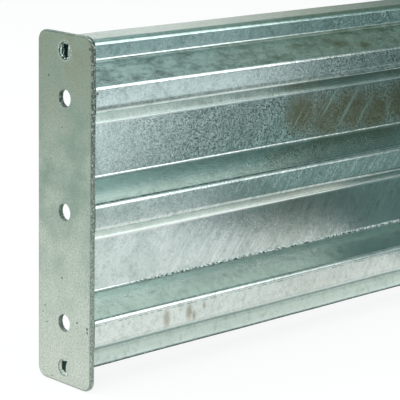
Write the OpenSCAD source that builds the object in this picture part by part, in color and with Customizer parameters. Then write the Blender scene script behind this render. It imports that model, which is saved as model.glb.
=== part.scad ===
/* [Overall] */
// Length over both end plates
rail_length = 1219; // [400:1:3000]
// Depth of an end plate from front to back
plate_depth = 87.5; // [82:0.5:120]
// Thickness of an end plate
plate_thickness = 6; // [3:0.1:12]
// How far an end plate stands out above and below the rail
plate_overhang = 10; // [8:0.5:30]
// Radius of an end plate's corners
plate_corner_r = 12; // [2:0.5:20]

/* [Rail sheet] */
// Thickness of the roll-formed sheet
sheet_thickness = 3; // [1.5:0.1:4]
// Radius on the inside of every bend
bend_inner_r = 3; // [2:0.25:6]
// Height of the recessed face above the top rib and below the bottom rib
edge_face = 21.75; // [14:0.25:60]
// How far the rib faces and the lips sit inside the plate's edges
edge_setback = 0.5; // [0:0.1:2]
// Distance from one rib to the next
rib_pitch = 125.5; // [100:0.5:180]
// Height of a rib's flat front face
rib_face = 27.5; // [20:0.5:36]
// Height of a rib where it meets the recessed faces
rib_base = 66.5; // [56:0.5:70]
// How far a rib stands out from the recessed faces
rib_depth = 38; // [25:0.5:42]
// Length of the lips turned in at the back of the flanges
lip_length = 25; // [14:0.5:40]

/* [Holes] */
// Diameter of the bolt holes
bolt_hole_d = 19; // [12:0.5:24]
// Distance from one bolt hole to the next
bolt_pitch = 122; // [110:1:135]
// Diameter of the vent holes near a plate's ends
vent_hole_d = 19; // [10:0.5:22]
// How far a vent hole's middle lies inside the rail's top or bottom
vent_inset = 8.5; // [4:0.5:12]

/* [Welds] */
// Leg of a fillet weld between the sheet and a plate
weld_leg = 5; // [3:0.5:6]
// Length of a weld behind a rib's front face
rib_weld_length = 16; // [8:1:18]
// Length of a weld behind a recessed face
valley_weld_length = 40; // [20:1:44]
// Length of a weld inside a flange
flange_weld_length = 22; // [10:1:22]

/* [Hidden] */
zinc_grey = "#b4bdb6";
plate_grey = "#a3ada2";
weld_grey = "#c3cac4";
bend_steps = 6;
round_fn = 64;
front_y = edge_setback - plate_depth / 2;
recess_y = front_y + rib_depth;
back_y = plate_depth / 2 - edge_setback;
panel_top = rib_pitch + rib_base / 2 + edge_face;
plate_height = 2 * (panel_top + plate_overhang);
mid_z = plate_height / 2;
panel_length = rail_length - 2 * plate_thickness;
flange_flat_end = back_y - sheet_thickness - bend_inner_r;
flange_weld_y = (vent_hole_d / 2 + flange_flat_end) / 2;
left = -1;
right = 1;
top = 1;
middle = 0;
bottom = -1;
rows = [top, middle, bottom];

// Front face of the sheet as a bent line, from the top lip round to the bottom lip
function rib_line(z) = [
    [recess_y, z + rib_base / 2],
    [front_y, z + rib_face / 2],
    [front_y, z - rib_face / 2],
    [recess_y, z - rib_base / 2]
];

face_line = concat(
    [[back_y, panel_top - lip_length], [back_y, panel_top], [recess_y, panel_top]],
    [for (row = rows) each rib_line(row * rib_pitch)],
    [[recess_y, -panel_top], [back_y, -panel_top], [back_y, lip_length - panel_top]]
);

function unit(v) = v / norm(v);
function left_of(v) = [-v[1], v[0]];
function turned(v, a) = [v[0] * cos(a) - v[1] * sin(a), v[0] * sin(a) + v[1] * cos(a)];
function turn_angle(u, v) = atan2(u[0] * v[1] - u[1] * v[0], u * v);

// Points of one bend at a depth s into the sheet: an arc about the bend's own centre
function bend(before, corner, after, s) =
    let (
        u = unit(corner - before),
        angle = turn_angle(u, unit(after - corner)),
        side = sign(angle),
        face_r = side > 0 ? bend_inner_r + sheet_thickness : bend_inner_r,
        start = corner - u * face_r * tan(abs(angle) / 2),
        spoke = -side * left_of(u),
        centre = start - spoke * face_r
    )
    [for (k = [0 : bend_steps]) centre + (face_r - side * s) * turned(spoke, angle * k / bend_steps)];

// One face of the sheet, at a depth s behind the front face
function sheet_face(line, s) =
    let (
        last = len(line) - 1,
        first_side = left_of(unit(line[1] - line[0])),
        last_side = left_of(unit(line[last] - line[last - 1]))
    )
    concat(
        [line[0] + s * first_side],
        [for (i = [1 : last - 1]) each bend(line[i - 1], line[i], line[i + 1], s)],
        [line[last] + s * last_side]
    );

function reversed(list) = [for (i = [len(list) - 1 : -1 : 0]) list[i]];

// Stands a drawing of depth and height up and runs it along the rail
module along_rail(length) {
    translate([-length / 2, 0, mid_z])
        rotate([90, 0, 90])
            linear_extrude(height = length)
                children();
}

module rail_panel() {
    color(zinc_grey)
        along_rail(panel_length)
            polygon(concat(
                sheet_face(face_line, 0),
                reversed(sheet_face(face_line, sheet_thickness))
            ));
}

module plate_outline() {
    core_w = plate_depth - 2 * plate_corner_r;
    core_h = plate_height - 2 * plate_corner_r;
    square([plate_depth, core_h], center = true);
    square([core_w, plate_height], center = true);
    for (sy = [-1, 1], sz = [-1, 1])
        translate([sy * core_w / 2, sz * core_h / 2])
            circle(r = plate_corner_r, $fn = round_fn);
}

module plate_holes() {
    for (row = rows)
        translate([0, row * bolt_pitch])
            circle(d = bolt_hole_d, $fn = round_fn);
    for (level = [top, bottom])
        translate([0, level * (panel_top - vent_inset)])
            circle(d = vent_hole_d, $fn = round_fn);
}

module end_plate(end) {
    color(plate_grey)
        translate([end * (rail_length - plate_thickness) / 2, 0, 0])
            along_rail(plate_thickness)
                difference() {
                    plate_outline();
                    plate_holes();
                }
}

// Round-faced fillet weld in the corner of a plate's inner face and a sheet face that looks along +Y
module fillet_weld(end, length) {
    color(weld_grey)
        translate([0, 0, -length / 2])
            linear_extrude(height = length)
                intersection() {
                    circle(r = weld_leg, $fn = round_fn);
                    translate([-end * weld_leg / 2, weld_leg / 2])
                        square(weld_leg, center = true);
                }
}

// Moves a weld to the inner face of the plate at one end, at the middle of its height
module at_plate(end) {
    translate([end * panel_length / 2, 0, mid_z])
        children();
}

module rib_weld(end, row) {
    at_plate(end)
        translate([0, front_y + sheet_thickness, row * rib_pitch])
            fillet_weld(end, rib_weld_length);
}

module valley_weld(end, level) {
    at_plate(end)
        translate([0, recess_y + sheet_thickness, level * rib_pitch / 2])
            fillet_weld(end, valley_weld_length);
}

module flange_weld(end, level) {
    at_plate(end)
        translate([0, flange_weld_y, level * (panel_top - sheet_thickness)])
            rotate([-level * 90, 0, 0])
                fillet_weld(end, flange_weld_length);
}

rail_panel();
end_plate(left);  // left_end_plate
flange_weld(left, top);  // left_top_flange_weld
rib_weld(left, top);  // left_top_rib_weld
valley_weld(left, top);  // left_upper_valley_weld
rib_weld(left, middle);  // left_middle_rib_weld
valley_weld(left, bottom);  // left_lower_valley_weld
rib_weld(left, bottom);  // left_bottom_rib_weld
flange_weld(left, bottom);  // left_bottom_flange_weld
end_plate(right);  // right_end_plate
flange_weld(right, top);  // right_top_flange_weld
rib_weld(right, top);  // right_top_rib_weld
valley_weld(right, top);  // right_upper_valley_weld
rib_weld(right, middle);  // right_middle_rib_weld
valley_weld(right, bottom);  // right_lower_valley_weld
rib_weld(right, bottom);  // right_bottom_rib_weld
flange_weld(right, bottom);  // right_bottom_flange_weld
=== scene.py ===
import math

import bmesh
import bpy
import numpy as np
from mathutils import Matrix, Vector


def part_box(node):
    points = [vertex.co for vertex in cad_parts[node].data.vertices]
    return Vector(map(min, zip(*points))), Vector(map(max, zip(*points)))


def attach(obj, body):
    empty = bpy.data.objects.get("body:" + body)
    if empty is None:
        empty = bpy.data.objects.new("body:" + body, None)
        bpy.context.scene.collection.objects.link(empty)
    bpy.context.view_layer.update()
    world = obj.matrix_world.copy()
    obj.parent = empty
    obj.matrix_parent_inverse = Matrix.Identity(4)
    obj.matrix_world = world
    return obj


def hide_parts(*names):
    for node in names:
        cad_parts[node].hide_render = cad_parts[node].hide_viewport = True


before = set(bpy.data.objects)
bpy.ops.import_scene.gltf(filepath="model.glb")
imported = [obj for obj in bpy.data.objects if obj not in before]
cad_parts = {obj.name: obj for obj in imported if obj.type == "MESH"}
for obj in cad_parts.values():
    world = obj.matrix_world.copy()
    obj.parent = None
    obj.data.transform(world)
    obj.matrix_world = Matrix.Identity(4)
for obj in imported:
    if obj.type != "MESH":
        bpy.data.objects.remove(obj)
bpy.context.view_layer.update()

# Sizes in millimetres, in the frame's own axes: X along the rail, Y from front to back, Z up
MM = 0.001
PLATE_LOW, PLATE_HIGH = (np.array(corner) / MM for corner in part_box("left_end_plate"))
RAIL_LOW, RAIL_HIGH = (np.array(corner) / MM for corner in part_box("rail_panel"))
MID_Z = (PLATE_LOW[2] + PLATE_HIGH[2]) / 2
PLATE_THICKNESS = PLATE_HIGH[0] - PLATE_LOW[0]
PLATE_HALF_DEPTH = (PLATE_HIGH[1] - PLATE_LOW[1]) / 2
PLATE_HALF_HEIGHT = (PLATE_HIGH[2] - PLATE_LOW[2]) / 2
PLATE_CORNER_R = 12.0
PLATE_EDGE_R = 1.4
HOLE_R = 9.5
HOLE_RIM_R = 0.35
BOLT_PITCH = 122.0
VENT_INSET = 8.5
RAIL_HALF_LENGTH = (RAIL_HIGH[0] - RAIL_LOW[0]) / 2
RAIL_HALF_HEIGHT = (RAIL_HIGH[2] - RAIL_LOW[2]) / 2
SHEET = 3.0
BEND_INNER_R = 3.0
RIB_PITCH = 125.5
RIB_FACE = 27.5
RIB_BASE = 66.5
RIB_DEPTH = 38.0
LIP = 25.0
FRONT_Y = RAIL_LOW[1]
RECESS_Y = FRONT_Y + RIB_DEPTH
BACK_Y = RAIL_HIGH[1]
RIB_CROWN = 0.2
WELD_LEG = 5.0
BEAD_SHARE, RIPPLE_LENGTH, RIPPLE_DEPTH = 0.97, 6.4, 0.07
FILLET_R = 1.5
BOX_SLACK = 0.05
MERGE = 0.002
SHARP_ANGLE = math.radians(40)
ENDS = {"left": -1, "right": 1}
ROWS = {"top": 1, "middle": 0, "bottom": -1}


def linear(hex_colour):
    """sRGB hex colour as linear RGBA."""
    srgb = [int(hex_colour[k:k + 2], 16) / 255 for k in (1, 3, 5)]
    return tuple(c / 12.92 if c <= 0.04045 else ((c + 0.055) / 1.055) ** 2.4 for c in srgb) + (1.0,)


def add(tree, kind, links=None, **settings):
    """Adds one node: settings are its properties, links give each input a value or another node's output."""
    made = tree.nodes.new(kind)
    for name, value in settings.items():
        setattr(made, name, value)
    for socket, source in (links or {}).items():
        if isinstance(source, bpy.types.NodeSocket):
            tree.links.new(source, made.inputs[socket])
        else:
            made.inputs[socket].default_value = source
    return made


# Sockets of the colour Mix node, which shares its names between data types
MIX_FACTOR, MIX_A, MIX_B, MIX_RESULT = 0, 6, 7, 2


def new_material(name):
    """A node material without any nodes, and its tree."""
    material = bpy.data.materials.new(name)
    material.use_nodes = True
    tree = material.node_tree
    tree.nodes.clear()
    return material, tree


def spot_on_piece(tree):
    """Vector output: the place on a piece in millimetres, from its Object coordinates."""
    place = add(tree, "ShaderNodeTexCoord").outputs["Object"]
    return add(tree, "ShaderNodeVectorMath", {0: place, "Scale": 1 / MM}, operation="SCALE").outputs[0]


def overlap(tree, *parts):
    """Value output that is the product of its parts. A part is a number, an output or a ramp: a value, where
    the ramp starts and stops, and what it runs from and to, if not from 0 to 1."""
    total = 1.0
    for part in parts:
        if isinstance(part, tuple):
            value, start, stop, *ends = part
            least, most = ends or (0.0, 1.0)
            ramp = add(tree, "ShaderNodeMapRange", {
                "Value": value, "From Min": start, "From Max": stop, "To Min": least, "To Max": most})
            part = ramp.outputs["Result"]
        total = add(tree, "ShaderNodeMath", {0: total, 1: part}, operation="MULTIPLY").outputs[0]
    return total


def coated(tree, ground, coats):
    """Colour output of a ground with coats laid over it in turn. A coat is its share and its colour, and a
    colour is sRGB hex or an output."""
    colour = linear(ground) if isinstance(ground, str) else ground
    for share, coat in coats:
        over = linear(coat) if isinstance(coat, str) else coat
        laid = add(tree, "ShaderNodeMix", {
            MIX_FACTOR: share, MIX_A: colour, MIX_B: over}, data_type="RGBA")
        colour = laid.outputs[MIX_RESULT]
    return colour


# Shares of a mark's radius and of a line's half width inside which they show in full
MARK_CORE, LINE_CORE = 0.3, 0.4
# Streaks lean over from level, to the right as they go up the faces, and are drawn out along that way
STREAK_LEAN = math.radians(52)
STREAK_DRAW, SCRATCH_DRAW = 9.0, 10.0
# Marks on the sheet, each a centre and a radius in millimetres, and how each kind is squeezed: drips, brown
# smears, scratches that lean as the streaks do, and a black dot of painted shade for a small gap beside the
# left plate
DRIPS = (
    (-500, -43, 62, 7.0), (-467, -43, 63, 6.5), (-459, -43, 58, 4.0), (-444, -43, 67, 3.5),
    (-560, -32, 335, 4.0))
DRIP_SQUEEZE = (1.0, 1.0, 0.5)
SMEARS = (
    (-218, -28, 338, 16.0), (-183, -35, 334, 14.0), (-255, -5, 256, 40.0), (-212, -5, 246, 48.0),
    (-170, -5, 250, 50.0), (-128, -5, 244, 52.0), (-80, -5, 250, 48.0))
SMEAR_SQUEEZE = (1.0, 1.8, 1.15)
SCRATCHES = ((-176, -5, 254, 3.6), (-208, -5, 264, 3.0), (-146, -5, 248, 2.6), (-262, -5, 250, 1.6))
GAP_SHADE_DOTS = ((-601.5, -43, 322.5, 2.4),)


def marked(tree, spot, marks, squeeze=(1.0, 1.0, 1.0), lean=0.0, draw_out=1.0):
    """Value output that is 1 inside the marks and fades to 0 at their rims. The space round a mark is
    squeezed, so that 0.5 makes it twice as long that way. Leaning marks are turned about Y by that angle and
    drawn out that many times along it."""
    total = 0.0
    for x, y, z, radius in marks:
        off = add(tree, "ShaderNodeVectorMath", {0: spot, 1: (x, y, z)}, operation="SUBTRACT")
        turned = add(tree, "ShaderNodeMapping", {
            "Vector": off.outputs[0], "Rotation": (0.0, -lean, 0.0), "Scale": (draw_out, 1.0, 1.0)},
            vector_type="TEXTURE")
        squeezed = add(tree, "ShaderNodeVectorMath", {
            0: turned.outputs["Vector"], 1: squeeze}, operation="MULTIPLY")
        away = add(tree, "ShaderNodeVectorMath", {0: squeezed.outputs[0]}, operation="LENGTH")
        near = overlap(tree, (away.outputs["Value"], radius, MARK_CORE * radius))
        total = add(tree, "ShaderNodeMath", {0: total, 1: near}, operation="MAXIMUM").outputs[0]
    return total


# Lines along the bends: the bend, the offset along the face towards the bottom and the half width, both in
# millimetres, and the strength. These are partly grime and partly painted shade and painted dark reflections,
# whole and broken into dashes
GRIME_AND_SHADE_LINES = (
    ("top_root_above", 2.6, 1.2, 0.5), ("middle_root_above", 2.6, 1.2, 0.5),
    ("bottom_root_above", 2.4, 1.3, 0.6), ("top_crest_below", -3.9, 2.8, 0.72),
    ("bottom_crest_below", 1.5, 4.5, 0.2), ("bottom_crest_below", 28.0, 20.0, 0.65),
    ("middle_crest_above", -2.0, 1.7, 0.95), ("bottom_crest_above", -1.4, 1.3, 0.8),
    ("bottom_front", 0.6, 4.4, 1.0))
DASHES = (("middle_crest_below", 0.6, 0.9, 0.7), ("bottom_crest_above", 4.8, 0.9, 0.6))
# A broken painted highlight in one inner bend, pale zinc colour with little metal, and the black gaps in it
PAINTED_HIGHLIGHT_RIDGES = (("bottom_root_above", -0.4, 2.4, 1.0),)
RIDGE_GAPS = (("bottom_root_above", 0.6, 2.4, 1.0),)
# Painted highlights in the inner bends, and painted reflections that make the slopes beside them pale
PAINTED_HIGHLIGHT_LINES = (
    ("top_root_below", 0.5, 2.4, 0.9), ("middle_root_below", 0.5, 3.0, 1.0),
    ("middle_root_above", 0.0, 1.4, 0.8))
PAINTED_BRIGHT_SLOPES = (
    ("bottom_root_above", 10.0, 9.0, 0.5), ("top_root_below", -16.0, 16.0, 0.7),
    ("middle_root_below", -16.0, 16.0, 0.5))
# A painted blue-green reflection on the middle rib's upper slope
PAINTED_TEAL_REFLECTIONS = (("middle_root_above", 13.0, 20.0, 0.4),)


def along_bends(tree, girth, lines):
    """Value output that is each line's strength along its bend and fades to 0 at the line's half width."""
    places, total = bend_places(), 0.0
    for bend, offset, half_width, strength in lines:
        off = add(tree, "ShaderNodeMath", {0: girth, 1: places[bend] + offset}, operation="SUBTRACT")
        away = add(tree, "ShaderNodeMath", {0: off.outputs[0]}, operation="ABSOLUTE")
        near = overlap(tree, (away.outputs[0], half_width, LINE_CORE * half_width, 0.0, strength))
        total = add(tree, "ShaderNodeMath", {0: total, 1: near}, operation="MAXIMUM").outputs[0]
    return total


def shade_in_ends(tree, spot):
    """Value output that is 1 inside the channels behind the flanges near both plates: painted shade, black
    where little light reaches into them. Its limits are set in from the sheet's own."""
    mid_y, half_y = (BACK_Y + RECESS_Y) / 2, (BACK_Y - RECESS_Y) / 2
    middle = add(tree, "ShaderNodeVectorMath", {0: spot, 1: (0.0, mid_y, MID_Z)}, operation="SUBTRACT")
    folded = add(tree, "ShaderNodeVectorMath", {0: middle.outputs[0]}, operation="ABSOLUTE")
    off = add(tree, "ShaderNodeSeparateXYZ", {"Vector": folded.outputs[0]}).outputs
    return overlap(
        tree, (off["X"], RAIL_HALF_LENGTH - 68.5, RAIL_HALF_LENGTH - 28.5),
        (off["X"], RAIL_HALF_LENGTH + 0.1, RAIL_HALF_LENGTH - 0.3), (off["Y"], half_y - 1.45, half_y - 2.25),
        (off["Z"], RAIL_HALF_HEIGHT - 30.5, RAIL_HALF_HEIGHT - 22.5),
        (off["Z"], RAIL_HALF_HEIGHT - 1.0, RAIL_HALF_HEIGHT - 2.0))


# Real crystals are finer: they are drawn at the size of a pixel so that they show
CRYSTAL_MM = 1.4
# Noise in the sheet's zinc: size in millimetres, detail, roughness and distortion
SHEET_NOISE = {
    "cloud": (40.0, 5.0, 0.6, 0.4), "streak": (3.5, 4.0, 0.55, 0.0), "speck": (1.6, 2.0, 0.6, 0.0),
    "ragged": (3.0, 3.0, 0.7, 0.0), "smudge": (9.0, 4.0, 0.7, 0.0), "blotch": (16.0, 6.0, 0.8, 0.0)}
BLOTCH_SQUEEZE = (0.65, 1.0, 1.0)


def galvanised_sheet():
    """Hot-dip galvanised steel sheet: bright zinc that froze in small crystals, each tilted a little, so the
    reflections break into grain, with dull grey patches, drag streaks, drips, grime and painted shade along
    the bends, painted highlights and reflections in and beside some bends, and painted shade in the channels
    near the plates. Ramps along X and Z are in millimetres."""
    material, tree = new_material("galvanised_sheet")
    spot = spot_on_piece(tree)
    along = add(tree, "ShaderNodeSeparateXYZ", {"Vector": spot}).outputs
    facing = add(tree, "ShaderNodeNewGeometry").outputs["Normal"]
    looks = add(tree, "ShaderNodeSeparateXYZ", {"Vector": facing}).outputs
    girth = add(tree, "ShaderNodeAttribute", attribute_name="girth").outputs["Fac"]
    crystal = add(tree, "ShaderNodeTexVoronoi", {"Vector": spot, "Scale": 1 / CRYSTAL_MM}).outputs["Color"]
    leaning = add(tree, "ShaderNodeMapping", {
        "Vector": spot, "Rotation": (0.0, -STREAK_LEAN, 0.0), "Scale": (STREAK_DRAW, 1.0, 1.0)},
        vector_type="TEXTURE")
    drawn_out = add(tree, "ShaderNodeMapping", {"Vector": spot, "Scale": BLOTCH_SQUEEZE})
    spaces = {"streak": leaning.outputs["Vector"], "blotch": drawn_out.outputs["Vector"]}
    noise = {}
    for name, (size_mm, detail, roughness, distortion) in SHEET_NOISE.items():
        pattern = add(tree, "ShaderNodeTexNoise", {
            "Vector": spaces.get(name, spot), "Scale": 1 / size_mm, "Detail": detail, "Roughness": roughness,
            "Distortion": distortion})
        noise[name] = pattern.outputs["Fac"]

    squareness = add(tree, "ShaderNodeMath", {0: looks["Y"]}, operation="ABSOLUTE").outputs[0]
    reach = add(tree, "ShaderNodeMath", {0: along["X"]}, operation="ABSOLUTE").outputs[0]
    upright = overlap(tree, (squareness, 0.6, 0.95))
    front = overlap(tree, (looks["Y"], 0.1, -0.1))
    # The middle of the bay is duller and darker grey than its ends, and the top rib only further in
    late = overlap(tree, (along["Z"], 281, 287, 0, 200))
    outward = add(tree, "ShaderNodeMath", {0: reach, 1: late}, operation="ADD").outputs[0]
    dull = overlap(
        tree, (outward, 560, 360), (along["Z"], 30, 150), (noise["streak"], 0.35, 0.65, 0.18, 0.6))
    # The crystals are coarse in the upper valley and above it, less so on the middle rib
    coarse = overlap(tree, (outward, 590, 420), (along["Z"], 170, 225))
    reds = add(tree, "ShaderNodeSeparateColor", {"Color": crystal}).outputs["Red"]
    bright_grain = overlap(tree, (reds, 0.15, 0.52))
    grain = coated(tree, "#e8f0ef", ((coarse, "#30423d"), (bright_grain, "#f4fbfa")))
    pepper = overlap(tree, upright, coarse, (noise["speck"], 0.60, 0.70, 0.0, 0.6))
    clouds = overlap(tree, (noise["cloud"], 0.45, 0.68, 0.0, 0.35))
    # A brown film lies in the lower valley on both sides of the middle, drawn out by the streaks
    film = overlap(
        tree, 0.6, upright, front, (reach, 400, 270), (reach, 120, 240, 0.2, 1.0), (along["Z"], 162, 154),
        (along["Z"], 96, 140, 0.3, 1.0), (noise["streak"], 0.68, 0.36, 0.5, 1.0))
    # The foot of the sheet is grey-green, and painted shade makes the narrow face above the top rib blue-grey
    foot = overlap(tree, (along["Z"], 46, 36, 0.0, 0.75))
    head = overlap(tree, upright, (along["Z"], 349, 353, 0.0, 0.65))
    smudges = overlap(tree, (noise["smudge"], 0.5, 0.72, 0.0, 0.4))
    # Dirt lies in blotches on the top rib's upper slope, and olive dust on the slope and the top flange, more
    # of it towards the middle of the bay
    top_side = overlap(tree, (looks["Z"], 0.3, 0.7), (along["Z"], 326, 332))
    slope = overlap(tree, top_side, (along["Z"], 354, 349))
    blotch = overlap(tree, (noise["blotch"], 0.44, 0.70))
    blotched = coated(tree, "#f6fdfb", ((blotch, "#6b7b70"),))
    dust = overlap(tree, top_side, (reach, 500, 220, 0.0, 0.45))
    drips = overlap(tree, 0.5, marked(tree, spot, DRIPS, DRIP_SQUEEZE))
    smears = overlap(
        tree, marked(tree, spot, SMEARS, SMEAR_SQUEEZE), front, (noise["streak"], 0.66, 0.5, 0.32, 0.72))
    stains = add(tree, "ShaderNodeMath", {0: drips, 1: smears}, operation="MAXIMUM").outputs[0]
    scratches = overlap(
        tree, 0.5, marked(tree, spot, SCRATCHES, lean=STREAK_LEAN, draw_out=SCRATCH_DRAW))
    # The painted highlight and its gaps stop short of the plates
    inward = overlap(tree, (reach, 550, 490))
    broken = overlap(tree, (noise["ragged"], 0.49, 0.54))
    highlight_ridges = overlap(tree, along_bends(tree, girth, PAINTED_HIGHLIGHT_RIDGES), inward, (noise["ragged"], 0.52, 0.47))
    gaps = overlap(tree, along_bends(tree, girth, RIDGE_GAPS), inward, broken)
    dashes = overlap(tree, along_bends(tree, girth, DASHES), broken)
    lines = along_bends(tree, girth, GRIME_AND_SHADE_LINES)
    for part in (dashes, gaps):
        lines = add(tree, "ShaderNodeMath", {0: lines, 1: part}, operation="MAXIMUM").outputs[0]
    # Painted shade in the channels near the plates, with a ragged edge
    fringe = add(tree, "ShaderNodeMath", {0: shade_in_ends(tree, spot), 1: noise["smudge"]}, operation="ADD")
    end_shade = overlap(tree, (fringe.outputs[0], 1.0, 1.1))
    # Grime and painted shade together: the lines along the bends, the black channels near the plates and a
    # black dot for a small gap
    grime_and_shade = overlap(tree, lines, (noise["ragged"], 0.36, 0.52, 0.55, 1.0))
    for part in (end_shade, marked(tree, spot, GAP_SHADE_DOTS)):
        grime_and_shade = add(tree, "ShaderNodeMath", {0: grime_and_shade, 1: part}, operation="MAXIMUM").outputs[0]
    # The grain shows on the upright faces: from the sloping ones the zinc ran off before it froze
    # The coats include painted shade on the face above the top rib, painted reflections and highlights along
    # some bends, and painted shade with the grime
    colour = coated(tree, "#dfece9", (
        (upright, grain), (pepper, "#5d6f6a"), (clouds, "#b6c7c0"), (dull, "#8aa09b"), (film, "#7d7862"),
        (foot, "#c5d9d1"), (head, "#a4c4c2"), (smudges, "#8a9b92"), (slope, blotched), (dust, "#b3b483"),
        (stains, "#837247"), (scratches, "#c4dcd7"), (along_bends(tree, girth, PAINTED_TEAL_REFLECTIONS), "#93b5b2"),
        (along_bends(tree, girth, PAINTED_BRIGHT_SLOPES), "#f2fff9"),
        (along_bends(tree, girth, PAINTED_HIGHLIGHT_LINES), "#ffffff"), (highlight_ridges, "#f4faf8"), (grime_and_shade, "#06433e")))

    sheen = overlap(tree, (noise["streak"], 0.3, 0.7, 0.15, 0.22))
    rough = add(tree, "ShaderNodeMath", {0: grime_and_shade, 1: 0.5, 2: sheen}, operation="MULTIPLY_ADD")
    grime_shade_and_highlight = add(tree, "ShaderNodeMath", {0: grime_and_shade, 1: highlight_ridges}, operation="MAXIMUM").outputs[0]
    metal = overlap(tree, (grime_shade_and_highlight, 0.0, 1.0, 1.0, 0.15))
    # Each crystal leans its own way, and the coarse ones lean more
    lean = add(tree, "ShaderNodeVectorMath", {0: crystal, 1: (0.5, 0.5, 0.5)}, operation="SUBTRACT")
    askew = overlap(tree, (coarse, 0.0, 1.0, 0.03, 0.09))
    tilt = add(tree, "ShaderNodeVectorMath", {0: lean.outputs[0], "Scale": askew}, operation="SCALE")
    tilted = add(tree, "ShaderNodeVectorMath", {0: facing, 1: tilt.outputs[0]}, operation="ADD")
    facet = add(tree, "ShaderNodeVectorMath", {0: tilted.outputs[0]}, operation="NORMALIZE")
    bump = add(tree, "ShaderNodeBump", {
        "Height": noise["speck"], "Normal": facet.outputs[0], "Strength": 0.3, "Distance": 0.2 * MM})
    shader = add(tree, "ShaderNodeBsdfPrincipled", {
        "Base Color": colour, "Metallic": metal, "Roughness": rough.outputs[0],
        "Normal": bump.outputs["Normal"]})
    add(tree, "ShaderNodeOutputMaterial", {"Surface": shader.outputs["BSDF"]})
    return material


# Pits and rust spots on a plate's outer face: depth, height and radius in millimetres
PITS = (
    (26.4, 333.5, 1.6), (4.2, 281.5, 1.3), (3.6, 117.8, 1.8), (32.4, 81.3, 1.3), (35.8, 73.7, 1.2),
    (28.9, 63.5, 1.4), (-21.6, 73.7, 1.7), (-38.1, 70.5, 2.2), (-38.5, 66.5, 1.8), (20.3, 4.6, 1.4),
    (-40.5, 369.0, 2.2), (-43.0, 360.5, 2.6), (-43.3, 350.0, 1.8))
# Noise in the plate's zinc: size in millimetres, detail and roughness
PLATE_NOISE = {"grain": (2.2, 3.0, 0.6), "cloud": (34.0, 4.0, 0.55), "fleck": (2.2, 3.0, 0.65)}


def galvanised_plate():
    """Hot-dip galvanised steel plate: the thicker steel froze the zinc to a matt sage grey with a fine grain,
    faint clouds, a brown tinge towards the top, a few pits, and darker cut edges with flecks of bright zinc,
    with painted light that makes it paler towards the foot.
    Ramps along Z are in millimetres."""
    material, tree = new_material("galvanised_plate")
    spot = spot_on_piece(tree)
    along = add(tree, "ShaderNodeSeparateXYZ", {"Vector": spot}).outputs
    noise = {}
    for name, (size_mm, detail, roughness) in PLATE_NOISE.items():
        pattern = add(tree, "ShaderNodeTexNoise", {
            "Vector": spot, "Scale": 1 / size_mm, "Detail": detail, "Roughness": roughness})
        noise[name] = pattern.outputs["Fac"]

    clouds = overlap(tree, (noise["cloud"], 0.34, 0.66))
    grains = overlap(tree, (noise["grain"], 0.40, 0.66, 0.0, 0.45))
    flecks = overlap(tree, (noise["fleck"], 0.50, 0.60))
    # Painted light: the plate is a little paler and greyer towards its foot
    foot = overlap(tree, (along["Z"], 210, 30, 0.0, 0.75))
    tinge = overlap(tree, clouds, (along["Z"], 240, 380, 0.0, 0.85))
    # The pits are the same on both plates
    outer_x = RAIL_HALF_LENGTH + PLATE_THICKNESS
    reach = add(tree, "ShaderNodeMath", {0: along["X"]}, operation="ABSOLUTE").outputs[0]
    both_ends = add(tree, "ShaderNodeCombineXYZ", {"X": reach, "Y": along["Y"], "Z": along["Z"]})
    pits = marked(tree, both_ends.outputs["Vector"], [(outer_x, y, z, radius) for y, z, radius in PITS])
    # A ragged collar of bright zinc stayed round the top vent
    flat = add(tree, "ShaderNodeVectorMath", {0: spot, 1: (0.0, 1.0, 1.0)}, operation="MULTIPLY").outputs[0]
    vent = (0.0, 0.0, MID_Z + RAIL_HALF_HEIGHT - VENT_INSET)
    off_vent = add(tree, "ShaderNodeVectorMath", {0: flat, 1: vent}, operation="DISTANCE").outputs["Value"]
    collar = overlap(tree, flecks, (off_vent, HOLE_R + 3.0, HOLE_R + 0.6))
    # The border of the face froze dark, where the zinc drew thin over the edge
    inner_half = (0.0, PLATE_HALF_DEPTH - PLATE_CORNER_R, PLATE_HALF_HEIGHT - PLATE_CORNER_R)
    centred = add(tree, "ShaderNodeVectorMath", {0: flat, 1: (0.0, 0.0, MID_Z)}, operation="SUBTRACT")
    folded = add(tree, "ShaderNodeVectorMath", {0: centred.outputs[0]}, operation="ABSOLUTE")
    past = add(tree, "ShaderNodeVectorMath", {0: folded.outputs[0], 1: inner_half}, operation="SUBTRACT")
    beyond = add(tree, "ShaderNodeVectorMath", {0: past.outputs[0], 1: (0.0, 0.0, 0.0)}, operation="MAXIMUM")
    outward = add(tree, "ShaderNodeVectorMath", {0: beyond.outputs[0]}, operation="LENGTH").outputs["Value"]
    border = overlap(tree, (outward, PLATE_CORNER_R - 2.2, PLATE_CORNER_R - 0.7, 0.0, 0.75))
    raised = overlap(tree, (along["Z"], 120, 340))
    edge = coated(tree, "#87928a", ((raised, "#4d5a54"), (flecks, "#bcc6be")))
    cut_edge = add(tree, "ShaderNodeAttribute", attribute_name="cut_edge").outputs["Fac"]
    colour = coated(tree, "#a4b8aa", (
        (clouds, "#d0dacd"), (foot, "#d6dad1"), (grains, "#7c8a7c"), (tinge, "#8d9075"), (pits, "#4a4a38"),
        (collar, "#f2f6f4"), (border, "#56625a"), (cut_edge, edge)))

    rough = overlap(tree, (noise["grain"], 0.3, 0.7, 0.36, 0.5))
    bump = add(tree, "ShaderNodeBump", {"Height": noise["grain"], "Strength": 0.5, "Distance": 0.3 * MM})
    shader = add(tree, "ShaderNodeBsdfPrincipled", {
        "Base Color": colour, "Metallic": 0.6, "Roughness": rough, "Normal": bump.outputs["Normal"]})
    add(tree, "ShaderNodeOutputMaterial", {"Surface": shader.outputs["BSDF"]})
    return material


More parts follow.
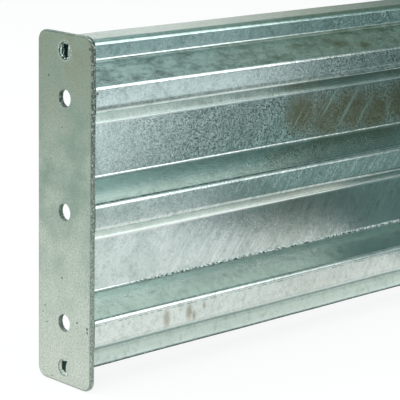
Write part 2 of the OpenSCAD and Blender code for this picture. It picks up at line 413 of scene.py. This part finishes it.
def grid_quads(rows, columns, closed_rows=False, closed_columns=False):
    """Quads between neighbours of a grid. A closed direction joins its last line to its first."""
    i = np.arange(rows if closed_rows else rows - 1)[:, None]
    j = np.arange(columns if closed_columns else columns - 1)[None, :]
    next_i, next_j = (i + 1) % rows, (j + 1) % columns
    corners = [i * columns + j, i * columns + next_j, next_i * columns + next_j, next_i * columns + j]
    return np.stack(corners, axis=-1).reshape(-1, 4)


def make_piece(name, points, quads, material, attribute=None):
    """A mesh object at the origin from points in millimetres, with doubles merged and faces turned outwards.
    The attribute is a label and one value for each point."""
    mesh = bpy.data.meshes.new(name)
    mesh.from_pydata((points * MM).tolist(), [], quads.tolist())
    if attribute:
        label, values = attribute
        mesh.attributes.new(label, "FLOAT", "POINT").data.foreach_set("value", values.astype(np.float32))
    work = bmesh.new()
    work.from_mesh(mesh)
    bmesh.ops.remove_doubles(work, verts=work.verts, dist=MERGE * MM)
    bmesh.ops.recalc_face_normals(work, faces=work.faces)
    work.to_mesh(mesh)
    work.free()
    mesh.polygons.foreach_set("use_smooth", np.ones(len(mesh.polygons), bool))
    mesh.set_sharp_from_angle(angle=SHARP_ANGLE)
    mesh.materials.append(material)
    piece = bpy.data.objects.new(name, mesh)
    bpy.context.scene.collection.objects.link(piece)
    return piece


def settle(piece, node=None):
    """Rides a finished piece on the object's one body, in place of its CAD node if it has one."""
    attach(piece, "root")
    if node:
        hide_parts(node)


def sheet_corners():
    """Corners (Y, Z) of the sheet's front face, from the end of the top lip to the end of the bottom lip."""
    top, edge = RAIL_HALF_HEIGHT, SHEET / 2
    ribs = [
        corner
        for row in ROWS.values()
        for corner in (
            (RECESS_Y, row * RIB_PITCH + RIB_BASE / 2), (FRONT_Y, row * RIB_PITCH + RIB_FACE / 2),
            (FRONT_Y, row * RIB_PITCH - RIB_FACE / 2), (RECESS_Y, row * RIB_PITCH - RIB_BASE / 2))
    ]
    start = [(BACK_Y, top - LIP + edge), (BACK_Y, top), (RECESS_Y, top)]
    finish = [(RECESS_Y, -top), (BACK_Y, -top), (BACK_Y, LIP - edge - top)]
    return np.array(start + ribs + finish)


def sheet_face(bend_steps=10, flat_step=9.0, near_bend=0.6):
    """Points of the sheet's front face, the unit normals into the sheet, and the index of each bend's middle
    point. Every corner is an arc about its bend's own centre: inner radius on one side of the sheet, inner
    radius plus thickness on the other. A flat has evenly spaced points, the outer ones close to the bends."""
    corners = sheet_corners()
    legs = np.diff(corners, axis=0)
    along = legs / np.linalg.norm(legs, axis=1, keepdims=True)
    left = np.stack([-along[:, 1], along[:, 0]], axis=1)
    before, after = along[:-1], along[1:]
    swing = before[:, 0] * after[:, 1] - before[:, 1] * after[:, 0]
    angle = np.arctan2(swing, np.sum(before * after, axis=1))
    side = np.sign(angle)
    radius = np.where(side > 0, BEND_INNER_R + SHEET, BEND_INNER_R)
    cut = radius * np.tan(np.abs(angle) / 2)
    bend_start, bend_end = corners[1:-1] - before * cut[:, None], corners[1:-1] + after * cut[:, None]
    centre = bend_start + left[:-1] * (side * radius)[:, None]
    turn = angle[:, None] * np.linspace(0, 1, bend_steps + 1)
    spoke = -side[:, None] * left[:-1]
    spokes = np.stack([
        spoke[:, :1] * np.cos(turn) - spoke[:, 1:] * np.sin(turn),
        spoke[:, :1] * np.sin(turn) + spoke[:, 1:] * np.cos(turn)], axis=-1)
    arcs = centre[:, None] + spokes * radius[:, None, None]
    inward = -side[:, None, None] * spokes
    starts, ends = np.vstack([corners[:1], bend_end]), np.vstack([bend_start, corners[-1:]])
    points, normals, middles, made = [], [], [], 0
    for k, (start, end) in enumerate(zip(starts, ends)):
        length = np.linalg.norm(end - start)
        steps = np.linspace(near_bend, length - near_bend, max(2, round(length / flat_step)))
        distance = np.concatenate([[0.0], steps, [length]]) if k in (0, len(starts) - 1) else steps
        points.append(start + along[k] * distance[:, None])
        normals.append(np.repeat(left[k:k + 1], len(distance), axis=0))
        made += len(distance)
        if k < len(arcs):
            points.append(arcs[k])
            normals.append(inward[k])
            middles.append(made + bend_steps // 2)
            made += len(arcs[k])
    return np.vstack(points), np.vstack(normals), np.array(middles)


def face_girth(face):
    """Distance of each point of the front face from its first point, measured along the face."""
    return np.concatenate([[0.0], np.cumsum(np.linalg.norm(np.diff(face, axis=0), axis=1))])


def bend_places():
    """Distance of each bend's middle along the front face, by the bend's name from top to bottom."""
    face, _, middles = sheet_face()
    rib_bends = ("root_above", "crest_above", "crest_below", "root_below")
    rib_names = [f"{row}_{bend}" for row in ROWS for bend in rib_bends]
    names = ["top_back", "top_front", *rib_names, "bottom_front", "bottom_back"]
    return dict(zip(names, face_girth(face)[middles]))


def sheet_section(edge_steps=4):
    """Closed outline of the sheet and its outward normals: half a round edge, the front face, a round edge,
    the back face and the other half edge, so that point i lies across the sheet from the i-th point from the
    end."""
    face, inward, _ = sheet_face()
    half = np.linspace(0, np.pi / 2, edge_steps + 1)[1:, None]
    first_mid, last_mid = face[0] + inward[0] * SHEET / 2, face[-1] + inward[-1] * SHEET / 2
    first_out = np.array([-inward[0][1], inward[0][0]])
    last_out = np.array([inward[-1][1], -inward[-1][0]])
    start = -inward[0] * np.cos(half[::-1]) + first_out * np.sin(half[::-1])
    end = -inward[-1] * np.cos(half) + last_out * np.sin(half)
    front = np.vstack([first_mid + start * SHEET / 2, face, last_mid + end * SHEET / 2])
    front_out = np.vstack([start, -inward, end])
    end_back = inward[-1] * np.cos(half) + last_out * np.sin(half)
    start_back = inward[0] * np.cos(half) + first_out * np.sin(half)
    back = np.vstack([
        last_mid + end_back[-2::-1] * SHEET / 2, (face + inward * SHEET)[::-1],
        first_mid + start_back[:-1] * SHEET / 2])
    back_out = np.vstack([end_back[-2::-1], inward[::-1], start_back[:-1]])
    return np.vstack([front, back]), np.vstack([front_out, back_out])


def waves(along, across, count, height, shortest, longest, seed):
    """A gentle sum of sine waves over two lengths in millimetres, with fixed random directions and phases."""
    draw = np.random.default_rng(seed)
    length, heading = draw.uniform(shortest, longest, count), draw.uniform(0, np.pi, count)
    phase = draw.uniform(0, 2 * np.pi, count)
    turns = (along[..., None] * np.cos(heading) + across[..., None] * np.sin(heading)) / length
    return height / math.sqrt(count) * np.sin(2 * np.pi * turns + phase).sum(axis=-1)


def make_rail(material, stations=152, still_end=30.0, depth_share=0.8):
    """The sheet's section carried along X. Each point moves a little along its normal: by the sheet's own
    waviness, which dies out towards the plates, and on a rib's face by a parabola, because rolled faces
    bulge. Both ends are closed across the sheet."""
    section, outward = sheet_section()
    count = len(section)
    x = np.linspace(-RAIL_HALF_LENGTH, RAIL_HALF_LENGTH, stations)
    inside = np.clip((RAIL_HALF_LENGTH - np.abs(x)) / still_end, 0, 1)
    turn_back = np.arange(count) >= count // 2 + 1
    across = np.roll(np.arange(count)[::-1], 1)
    spot = np.where(turn_back[:, None], section[across], section)
    spread_x, spread_z = np.broadcast_arrays(x[None, :], spot[:, :1] * depth_share + spot[:, 1:])
    wave = waves(spread_x, spread_z, count=9, height=0.14, shortest=70, longest=320, seed=4)
    off_rib = np.abs(spot[:, 1:] - np.array(list(ROWS.values())) * RIB_PITCH).min(axis=1) / (RIB_FACE / 2)
    bulge = RIB_CROWN * np.clip(1 - off_rib ** 2, 0, 1) * (np.abs(spot[:, 0] - FRONT_Y) < SHEET)
    shift = np.where(turn_back[:, None], -1, 1) * (wave * inside + bulge[:, None])
    y = section[:, :1] + outward[:, :1] * shift
    z = section[:, 1:] + outward[:, 1:] * shift + MID_Z
    points = np.stack([np.broadcast_to(x, y.shape), y, z], axis=-1).reshape(-1, 3)
    half = np.arange(count // 2 - 1)
    cap = np.stack([half, half + 1, count - 2 - half, count - 1 - half], axis=1) * stations
    quads = np.vstack([grid_quads(count, stations, closed_rows=True), cap, cap + stations - 1])
    # Distance round the sheet, negative on its back, which the material's lines along the bends follow
    face = sheet_face()[0]
    edge = (count // 2 + 1 - len(face)) // 2
    girth = np.pad(np.pad(face_girth(face), edge, mode="edge"), (0, count - len(face) - 2 * edge))
    girth = np.where(turn_back, -girth[across], girth)
    rail = make_piece("rail", points, quads, material, ("girth", np.repeat(girth, stations)))
    settle(rail, "rail_panel")


def make_fillets(material, round_steps=5, thinnest=0.1, sunk=0.2):
    """Zinc that ran into the corner between a plate and the front of the sheet: a hollow quarter round
    carried along the sheet's face, uneven in size and no larger than the plate's own edge leaves room for."""
    face, inward, _ = sheet_face()
    steepness = np.maximum(np.abs(inward[:, 0]), 0.1)
    room = (PLATE_HALF_DEPTH - BOX_SLACK - np.abs(face[:, 0])) / steepness
    turn = np.linspace(0, np.pi / 2, round_steps + 1)
    step, lift = (np.append(1 - side(turn), -sunk) for side in (np.sin, np.cos))
    for end_name, end in ENDS.items():
        swell = waves(
            face_girth(face), 0 * face[:, 0], count=7, height=0.45, shortest=8, longest=40, seed=20 + end)
        radius = np.clip(np.minimum(FILLET_R * (1 + swell), room), thinnest, None)
        radius[[0, -1]] = 0.0
        x = end * (RAIL_HALF_LENGTH - radius[:, None] * step)
        place = face[:, None] - inward[:, None] * (radius[:, None] * lift)[..., None]
        points = np.stack([x, place[..., 0], place[..., 1] + MID_Z], axis=-1).reshape(-1, 3)
        quads = grid_quads(len(face), len(step), closed_columns=True)
        settle(make_piece(f"{end_name}_zinc_fillet", points, quads, material))


def make_lumps(name, lumps, seed, material, rings=13, spokes=18, wave_count=5, swelling=0.07):
    """Lumps of zinc in one mesh, each a ball given by its centre and three radii: two angles make the ball,
    and its radius swells and shrinks by a few waves over its rays."""
    draw = np.random.default_rng(seed)
    polar = np.linspace(0, np.pi, rings)[:, None]
    around = np.linspace(0, 2 * np.pi, spokes, endpoint=False)[None, :]
    ray = np.stack(np.broadcast_arrays(
        np.sin(polar) * np.cos(around), np.sin(polar) * np.sin(around), np.cos(polar)), axis=-1)
    one = grid_quads(*ray.shape[:2], closed_columns=True)
    points, quads = [], []
    for centre, radii in lumps:
        wave, phase = draw.normal(0, 2.2, (wave_count, 3)), draw.uniform(0, 2 * np.pi, wave_count)
        swell = 1 + swelling * np.sin(ray @ wave.T + phase).sum(axis=-1)
        points.append((np.array(centre) + ray * swell[..., None] * radii).reshape(-1, 3))
        quads.append(one + len(quads) * len(points[-1]))
    settle(make_piece(name, np.vstack(points), np.vstack(quads), material))


# Zinc that froze in the vent holes: depth below the plate's outer face, Y and Z from the hole's middle, and
# radii. The matt plugs narrow a hole to a slot, and bright drops hang round the slot
VENT_PLUGS = {
    "top": (((2.6, -6.4, 0.0), (1.9, 4.2, 8.6)), ((3.4, 8.4, 5.0), (2.2, 1.6, 3.0))),
    "bottom": (
        ((2.3, -6.6, 0.0), (1.9, 5.2, 9.4)), ((2.4, 8.0, 0.0), (2.0, 2.6, 8.6)),
        ((2.4, 2.0, 8.4), (1.9, 6.0, 1.6)), ((2.3, 2.0, -8.0), (1.8, 6.0, 2.6)))}
VENT_DROPS = {
    "top": (
        ((3.2, 8.6, -1.0), (2.6, 1.5, 5.2)), ((3.0, 6.4, -6.4), (2.0, 1.9, 1.8)),
        ((1.4, -8.2, 2.6), (1.2, 0.9, 5.2)), ((1.8, -3.4, -7.9), (1.5, 1.5, 1.4)),
        ((1.9, 1.6, 8.5), (1.6, 2.6, 1.0)), ((1.8, 1.6, -8.4), (1.5, 1.3, 1.1))),
    "bottom": (((1.6, 4.0, -5.6), (1.4, 2.2, 1.9)), ((1.5, -1.6, -8.6), (1.3, 2.4, 1.3)))}


def make_vent_zinc(plug_material, drop_material):
    """Half-choked vent holes: zinc that hung in each hole when the section was lifted out of the bath."""
    vent = RAIL_HALF_HEIGHT - VENT_INSET
    for end_name, end in ENDS.items():
        outer_x = end * (RAIL_HALF_LENGTH + PLATE_THICKNESS)
        for row, level in (("top", 1), ("bottom", -1)):
            for kind, zinc, material in (
                    ("plug", VENT_PLUGS[row], plug_material), ("drops", VENT_DROPS[row], drop_material)):
                lumps = [
                    ((outer_x - end * deep, y, MID_Z + level * vent + z), radii)
                    for (deep, y, z), radii in zinc]
                make_lumps(f"{end_name}_{row}_vent_{kind}", lumps, 30 + end + 5 * level, material)


def plate_outline(side_heights, corner_steps=8, top_steps=10):
    """Points and outward normals round the plate, from the bottom of the back side: straight sides through
    the given heights, quarter-round corners and straight top and bottom."""
    reach_y, reach_z = PLATE_HALF_DEPTH - PLATE_CORNER_R, PLATE_HALF_HEIGHT - PLATE_CORNER_R
    quarter = np.linspace(0, np.pi / 2, corner_steps + 1)[1:-1]
    top_y = np.linspace(reach_y, -reach_y, top_steps + 1)
    level = np.full_like(top_y, PLATE_HALF_HEIGHT)
    side = np.full_like(side_heights, PLATE_HALF_DEPTH)

    def corner(sign_y, sign_z, start):
        spread = start + quarter
        ray = np.stack([np.cos(spread), np.sin(spread)], axis=1)
        return np.array([sign_y * reach_y, sign_z * reach_z]) + ray * PLATE_CORNER_R, ray

    def straight(y, z, normal):
        return np.stack([y, z], axis=1), np.tile(np.array(normal, float), (len(y), 1))

    stretches = [
        straight(side, side_heights, (1, 0)), corner(1, 1, 0.0),
        straight(top_y, level, (0, 1)), corner(-1, 1, np.pi / 2),
        straight(-side, side_heights[::-1], (-1, 0)), corner(-1, -1, np.pi),
        straight(-top_y, -level, (0, -1)), corner(1, -1, 1.5 * np.pi)]
    return np.vstack([s[0] for s in stretches]), np.vstack([s[1] for s in stretches])


def plate_profile(edge_r, steps=5):
    """How far in from the edge and how deep in the plate a rounded edge runs, from one face to the other."""
    turn = np.linspace(0, np.pi / 2, steps + 1)
    inset, depth = edge_r * (1 - np.sin(turn)), edge_r * (1 - np.cos(turn))
    return np.concatenate([inset, inset[::-1]]), np.concatenate([depth, PLATE_THICKNESS - depth[::-1]])


def plate_cut(profile):
    """1 along the flat of a cut edge's profile, falling to 0 where its roundings meet the plate's faces."""
    return (1 - profile / profile[0]) ** 0.5


def make_plate(
        end_name, material, side_step=6.0, shared_steps=12, cell_rings=6, crowding=1.4, slack=0.001):
    """An end plate: a rounded edge carried round the outline, and five cells, each a ring of rays from its
    hole to its own share of the outline, with the hole's rounded rim and wall carried round the hole."""
    end = ENDS[end_name]
    vent = RAIL_HALF_HEIGHT - VENT_INSET
    holes = np.array([-vent, -BOLT_PITCH, 0.0, BOLT_PITCH, vent])
    limits = np.concatenate([[-np.inf], (holes[1:] + holes[:-1]) / 2, [np.inf]])
    reach_z = PLATE_HALF_HEIGHT - PLATE_CORNER_R
    stops = np.concatenate([[-reach_z], limits[1:-1], [reach_z]])
    side_heights = np.unique(np.concatenate([
        np.linspace(low, high, max(2, round((high - low) / side_step)) + 1)
        for low, high in zip(stops[:-1], stops[1:])]))
    outline, normal = plate_outline(side_heights)
    inset, depth = plate_profile(PLATE_EDGE_R)
    rim = outline[:, None] - normal[:, None] * inset[None, :, None]
    grids = [np.concatenate([rim, np.broadcast_to(depth, rim.shape[:2])[..., None]], axis=-1)]
    cut_edges = [np.broadcast_to(plate_cut(inset), rim.shape[:2])]
    border = outline - normal * PLATE_EDGE_R
    shared_y = np.linspace(-1, 1, shared_steps + 1)[1:-1] * (PLATE_HALF_DEPTH - PLATE_EDGE_R)
    rim_inset, rim_depth = plate_profile(HOLE_RIM_R)
    spread = np.linspace(1, 0, cell_rings + 1)[:-1] ** crowding
    for hole, low, high in zip(holes, limits[:-1], limits[1:]):
        own = border[(border[:, 1] >= low - slack) & (border[:, 1] <= high + slack)]
        shared = [
            np.stack([shared_y, np.full_like(shared_y, z)], axis=1) for z in (low, high) if np.isfinite(z)]
        ring = np.vstack([own, *shared])
        centre = np.array([0.0, hole])
        ring = ring[np.argsort(np.arctan2(ring[:, 1] - hole, ring[:, 0]))]
        reach = np.linalg.norm(ring - centre, axis=1)
        ray = (ring - centre) / reach[:, None]
        wall_r = HOLE_R + rim_inset
        out = wall_r[0] + (reach[:, None] - wall_r[0]) * spread
        wall = np.broadcast_to(wall_r, (len(ring), len(wall_r)))
        radius = np.concatenate([out, wall, out[:, ::-1]], axis=1)
        deep = np.concatenate([np.zeros(len(spread)), rim_depth, np.full(len(spread), PLATE_THICKNESS)])
        cell = centre + ray[:, None] * radius[..., None]
        grids.append(np.concatenate([cell, np.broadcast_to(deep, radius.shape)[..., None]], axis=-1))
        cut_edges.append(np.broadcast_to(np.pad(plate_cut(rim_inset), len(spread)), radius.shape))
    points, quads, first = [], [], 0
    for grid in grids:
        quads.append(grid_quads(*grid.shape[:2], closed_rows=True) + first)
        points.append(grid.reshape(-1, 3))
        first += len(points[-1])
    flat = np.vstack(points)
    outer_x = end * (RAIL_HALF_LENGTH + PLATE_THICKNESS)
    solid = np.stack([outer_x - end * flat[:, 2], flat[:, 0], flat[:, 1] + MID_Z], axis=1)
    cut_edge = np.concatenate([share.ravel() for share in cut_edges])
    plate = make_piece(f"{end_name}_plate", solid, np.vstack(quads), material, ("cut_edge", cut_edge))
    settle(plate, f"{end_name}_end_plate")


def make_weld(name, end, corner, length, run, out, material, stations=90, rays=9, bluntness=8):
    """A fillet weld: a quarter-round bead carried along a corner, its radius rippling as the arc was moved
    and falling to nothing at both ends. run is the direction along the corner, out the one off the sheet."""
    along, turn = np.linspace(-1, 1, stations), np.linspace(0, np.pi / 2, rays)
    ripple = 1 - RIPPLE_DEPTH * np.abs(np.sin(np.pi * along * length / 2 / RIPPLE_LENGTH))
    radius = WELD_LEG * BEAD_SHARE * ripple * (1 - np.abs(along) ** bluntness) ** 0.5
    inward = np.array([-end, 0.0, 0.0])
    ray = np.cos(turn)[:, None] * inward + np.sin(turn)[:, None] * out
    spokes = np.vstack([np.zeros((1, 3)), ray])
    base = np.array(corner) + along[:, None] * length / 2 * run
    points = base[:, None] + spokes * radius[:, None, None]
    quads = grid_quads(len(along), len(spokes), closed_columns=True)
    bead = make_piece(name.replace("_weld", "_bead"), points.reshape(-1, 3), quads, material)
    settle(bead, name)


def make_welds(material):
    """The welds behind each rib and valley and inside each flange, at their nodes' places and lengths."""
    up, back = np.array([0.0, 0.0, 1.0]), np.array([0.0, 1.0, 0.0])
    for end_name, end in ENDS.items():
        for node in (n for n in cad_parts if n.startswith(end_name) and n.endswith("_weld")):
            low, high = (np.array(corner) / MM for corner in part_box(node))
            middle = (low + high) / 2
            at = low[0] if end < 0 else high[0]
            if "flange" in node:
                level = 1 if "top" in node else -1
                edge = high[2] if level > 0 else low[2]
                make_weld(node, end, (at, middle[1], edge), high[1] - low[1], back, -level * up, material)
            else:
                make_weld(node, end, (at, low[1], middle[2]), high[2] - low[2], up, back, material)


# Camera of the photograph, found by matching the plate's and the rail's edges in its square picture
CAMERA_PLACE = (-1.8530, -1.5130, 0.6684)
CAMERA_YAW, CAMERA_PITCH, CAMERA_ROLL = math.radians(43.6), math.radians(13.3), math.radians(1.11)
CAMERA_LENS_MM, CAMERA_SENSOR_MM = 171.52, 36.0


def make_camera():
    """Looks along the yaw, from +Y towards +X, and down by the pitch, then rolls about its own axis."""
    ahead = np.array([
        math.sin(CAMERA_YAW) * math.cos(CAMERA_PITCH), math.cos(CAMERA_YAW) * math.cos(CAMERA_PITCH),
        -math.sin(CAMERA_PITCH)])
    level = np.array([math.cos(CAMERA_YAW), -math.sin(CAMERA_YAW), 0.0])
    upright = np.cross(level, ahead)
    right = math.cos(CAMERA_ROLL) * level + math.sin(CAMERA_ROLL) * upright
    up = math.cos(CAMERA_ROLL) * upright - math.sin(CAMERA_ROLL) * level
    data = bpy.data.cameras.new("camera")
    data.lens = CAMERA_LENS_MM
    data.sensor_width = CAMERA_SENSOR_MM
    data.clip_end = 100.0
    camera = bpy.data.objects.new("camera", data)
    turned = Matrix(np.stack([right, up, -ahead], axis=1).tolist()).to_4x4()
    camera.matrix_world = Matrix.Translation(CAMERA_PLACE) @ turned
    bpy.context.scene.collection.objects.link(camera)
    bpy.context.scene.camera = camera


# Studio: places in metres, lamps as brightness seen in a mirror, where 1 is white
ROOM_DARK = "#56706e"
PAPER_GLOW = 0.87
PAPER_HALF = 30.0
CARD_LIFT = 0.0005


def oblong(x, y, far_x, far_y):
    """Corners of a card from one corner and the one across from it."""
    return (x, y), (far_x, y), (far_x, far_y), (x, far_y)


# Cards on the floor in front and behind: shade and corners. The later ones lie on the earlier ones
FLOOR_CARDS = {
    "front_foot_card": ("#e4e7e2", oblong(-3.0, -0.045, 3.0, -0.27)),
    "front_near_card": ("#f0f3f3", oblong(-3.0, -0.27, 3.0, -0.52)),
    "front_dim_card": ("#acbcba", oblong(-3.0, -0.52, 3.0, -0.84)),
    "front_mid_card": ("#c6d5d2", oblong(-3.0, -0.84, 3.0, -1.06)),
    "front_pale_card": ("#f1fcff", oblong(-3.0, -1.06, 3.0, -1.56)),
    "front_far_card": ("#527a79", oblong(-3.0, -1.56, 3.5, -5.0)),
    "front_dark_card": (ROOM_DARK, (
        (0.04, -0.11), (0.05, -0.17), (0.1, -0.21), (0.12, -0.3), (0.06, -0.36), (-0.03, -0.41),
        (-0.01, -0.48), (0.12, -0.62), (0.32, -0.85), (0.54, -1.04), (1.04, -1.07), (1.1, -1.56),
        (1.3, -1.65), (1.4, -5.0), (3.6, -5.0), (3.6, -0.11))),
    "front_end_card": ("#d6dedb", oblong(-3.0, -0.25, -0.18, -0.48)),
    "front_left_card": ("#889a91", oblong(-0.4, -0.55, 0.01, -0.72)),
    "front_right_card": ("#aecdca", oblong(0.22, -0.55, 0.8, -0.74)),
    "back_card": (ROOM_DARK, oblong(-0.95, 0.3, -4.5, 4.0))}


def lay_card(name, corners, material):
    """A flat card on the stage, given by its corners in metres."""
    mesh = bpy.data.meshes.new(name)
    mesh.from_pydata(corners, [], [tuple(range(len(corners)))])
    mesh.materials.append(material)
    card = bpy.data.objects.new(name, mesh)
    bpy.context.scene.collection.objects.link(card)
    return card


def white_paper():
    """Matt white paper, which stays white to the eye and in reflections and still takes a shadow."""
    material, tree = new_material("white_paper")
    diffuse = add(tree, "ShaderNodeBsdfDiffuse", {"Color": linear("#f6f6f6")})
    glow = add(tree, "ShaderNodeEmission", {"Color": linear("#ffffff"), "Strength": 1.0})
    path = add(tree, "ShaderNodeLightPath")
    seen = 0.0
    for ray in ("Is Camera Ray", "Is Glossy Ray", "Is Transmission Ray"):
        seen = add(tree, "ShaderNodeMath", {0: seen, 1: path.outputs[ray]}, operation="MAXIMUM").outputs[0]
    mixed = add(tree, "ShaderNodeMixShader", {
        "Fac": overlap(tree, PAPER_GLOW, seen), 1: diffuse.outputs["BSDF"], 2: glow.outputs["Emission"]})
    add(tree, "ShaderNodeOutputMaterial", {"Surface": mixed.outputs["Shader"]})
    return material


def shade_card(name, hex_colour):
    """A card that shows in the zinc's reflections at the shade that is written."""
    material, tree = new_material(name)
    glow = add(tree, "ShaderNodeEmission", {"Color": linear(hex_colour), "Strength": 1.0})
    add(tree, "ShaderNodeOutputMaterial", {"Surface": glow.outputs["Emission"]})
    return material


def make_floor():
    """A wide floor of white paper, and shaded cards on it beside the view, which only reflections show."""
    paper = oblong(-PAPER_HALF, -PAPER_HALF, PAPER_HALF, PAPER_HALF)
    lay_card("floor", [(x, y, 0.0) for x, y in paper], white_paper())
    for level, (name, (shade, corners)) in enumerate(FLOOR_CARDS.items(), 1):
        card = lay_card(name, [(x, y, level * CARD_LIFT) for x, y in corners], shade_card(name, shade))
        card.visible_camera = card.visible_diffuse = card.visible_shadow = False


def make_world():
    """A room that is pale at the horizon, grey-green above and darker towards the right."""
    world = bpy.data.worlds.new("studio")
    bpy.context.scene.world = world
    world.use_nodes = True
    tree = world.node_tree
    tree.nodes.clear()
    heading = add(tree, "ShaderNodeTexCoord").outputs["Generated"]
    parts = add(tree, "ShaderNodeSeparateXYZ", {"Vector": heading}).outputs
    ramp = add(tree, "ShaderNodeValToRGB", {"Fac": parts["Z"]})
    stops = ramp.color_ramp.elements
    stops[0].position, stops[0].color = 0.085, linear("#f4f7f5")
    stops[1].position, stops[1].color = 0.60, linear("#8ea7a4")
    stops.new(0.24).color = linear("#bfc9c0")
    rightness = overlap(tree, (parts["X"], 0.67, 0.77))
    room = coated(tree, ramp.outputs["Color"], ((rightness, ROOM_DARK),))
    background = add(tree, "ShaderNodeBackground", {"Color": room, "Strength": 1.0})
    add(tree, "ShaderNodeOutputWorld", {"Surface": background.outputs["Background"]})


def hang_softbox(name, place, target, size, brightness):
    """A rectangular lamp that faces its target. Its power is brightness x area x pi, so that its face shows
    at that brightness in a mirror."""
    data = bpy.data.lights.new(name, "AREA")
    data.shape = "RECTANGLE"
    data.size, data.size_y = size
    data.energy = brightness * size[0] * size[1] * math.pi
    lamp = bpy.data.objects.new(name, data)
    ahead = (np.array(target) - place) / np.linalg.norm(np.array(target) - place)
    level = np.cross(ahead, (0, 1, 0) if abs(ahead[2]) > 0.95 else (0, 0, 1))
    level = level / np.linalg.norm(level)
    turned = Matrix(np.stack([level, np.cross(level, ahead), -ahead], axis=1).tolist()).to_4x4()
    lamp.matrix_world = Matrix.Translation(place) @ turned
    bpy.context.scene.collection.objects.link(lamp)


def make_lights():
    """One softbox high in front and to the right, whose reflection runs along every bend, and a wide one
    above."""
    make_world()
    hang_softbox("key_softbox", (0.92, -1.73, 1.08), (-0.43, -0.03, 1.08), (0.91, 1.6), 1.4)
    hang_softbox("top_softbox", (-1.6, 0.8, 3.4), (-1.6, 0.8, 0.0), (6.0, 6.0), 1.9)


bpy.context.scene.view_settings.view_transform = "Standard"
make_camera()
make_floor()
make_lights()
sheet_zinc = galvanised_sheet()
plate_zinc = galvanised_plate()
make_rail(sheet_zinc)
for end in ENDS:
    make_plate(end, plate_zinc)
make_welds(sheet_zinc)
make_fillets(sheet_zinc)
make_vent_zinc(plate_zinc, sheet_zinc)
